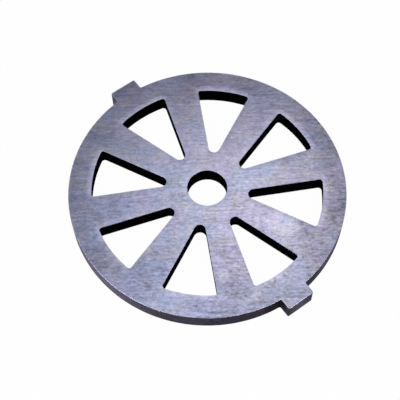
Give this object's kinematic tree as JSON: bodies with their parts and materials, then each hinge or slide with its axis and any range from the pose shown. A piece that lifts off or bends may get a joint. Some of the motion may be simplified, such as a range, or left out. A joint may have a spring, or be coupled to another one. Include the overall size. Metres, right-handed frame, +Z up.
{
  "type": "meat grinder plate",
  "caption": "Round flat steel plate for the outlet of a meat grinder, with wedge-shaped windows, a central bore, and lugs on the rim that stop it turning.",
  "frame": {"origin": "on the bore's axis, at the plate's lower face", "axes": "+Z up along the bore's axis, X through the two lugs"},
  "size_m": [0.0584, 0.054, 0.0038],
  "materials": {
    "steel": "flat ground faces, dark as-cut walls"
  },
  "bodies": {
    "root": {"plate": "steel"}
  },
  "joints": []
}
